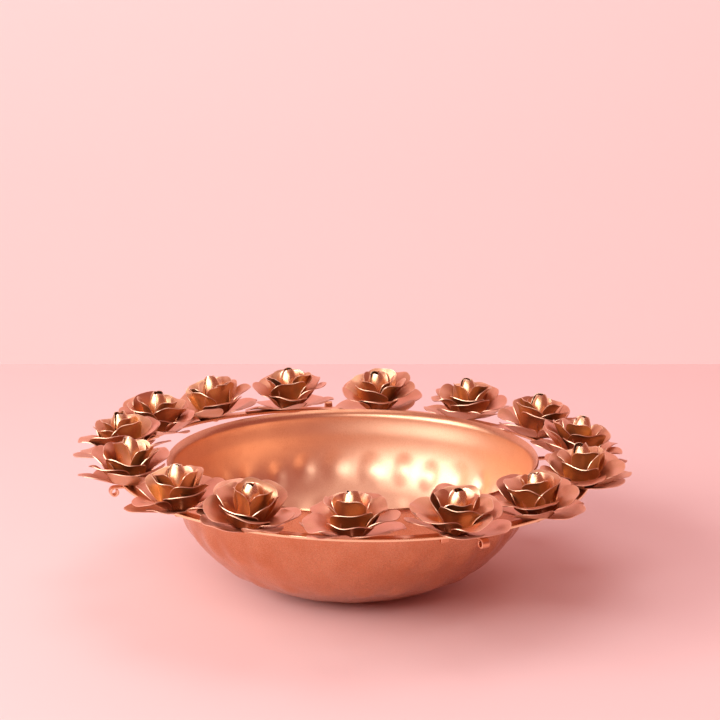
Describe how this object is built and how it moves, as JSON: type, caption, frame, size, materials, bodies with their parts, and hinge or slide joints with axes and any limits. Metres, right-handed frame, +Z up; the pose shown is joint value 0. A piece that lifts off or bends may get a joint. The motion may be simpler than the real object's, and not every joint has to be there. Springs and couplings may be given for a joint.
{
  "type": "decorative urli bowl",
  "caption": "Shallow hammered copper-coloured bowl with a folded lip, ringed by a flat hoop of sheet-metal roses on short scroll-ended arms.",
  "frame": {"origin": "centre of the flat that the bowl stands on", "axes": "+Z up out of the bowl's mouth, -Y towards the front; the first rose stands at the front"},
  "size_m": [0.3411, 0.3407, 0.1081],
  "materials": {
    "bowl": "hammered sheet with a satin copper lacquer",
    "flower_ring": "satin copper lacquer, edges rubbed bright",
    "arms": "satin copper lacquer",
    "outer_petals": "grainy satin copper lacquer, bare bright edges",
    "inner_petals": "grainy satin golden copper lacquer, bare bright edges",
    "buds": "satin golden copper lacquer, rubbed bright on the crown"
  },
  "bodies": {
    "root": {"bowl": "bowl", "flower_ring": "flower_ring", "arm_front": "arms", "arm_right": "arms", "arm_rear": "arms", "arm_left": "arms", "rose_01_outer_petals": "outer_petals", "rose_01_inner_petals": "inner_petals", "rose_01_bud": "buds", "rose_02_outer_petals": "outer_petals", "rose_02_inner_petals": "inner_petals", "rose_02_bud": "buds", "rose_03_outer_petals": "outer_petals", "rose_03_inner_petals": "inner_petals", "rose_03_bud": "buds", "rose_04_outer_petals": "outer_petals", "rose_04_inner_petals": "inner_petals", "rose_04_bud": "buds", "rose_05_outer_petals": "outer_petals", "rose_05_inner_petals": "inner_petals", "rose_05_bud": "buds", "rose_06_outer_petals": "outer_petals", "rose_06_inner_petals": "inner_petals", "rose_06_bud": "buds", "rose_07_outer_petals": "outer_petals", "rose_07_inner_petals": "inner_petals", "rose_07_bud": "buds", "rose_08_outer_petals": "outer_petals", "rose_08_inner_petals": "inner_petals", "rose_08_bud": "buds", "rose_09_outer_petals": "outer_petals", "rose_09_inner_petals": "inner_petals", "rose_09_bud": "buds", "rose_10_outer_petals": "outer_petals", "rose_10_inner_petals": "inner_petals", "rose_10_bud": "buds", "rose_11_outer_petals": "outer_petals", "rose_11_inner_petals": "inner_petals", "rose_11_bud": "buds", "rose_12_outer_petals": "outer_petals", "rose_12_inner_petals": "inner_petals", "rose_12_bud": "buds", "rose_13_outer_petals": "outer_petals", "rose_13_inner_petals": "inner_petals", "rose_13_bud": "buds", "rose_14_outer_petals": "outer_petals", "rose_14_inner_petals": "inner_petals", "rose_14_bud": "buds", "rose_15_outer_petals": "outer_petals", "rose_15_inner_petals": "inner_petals", "rose_15_bud": "buds"}
  },
  "joints": []
}
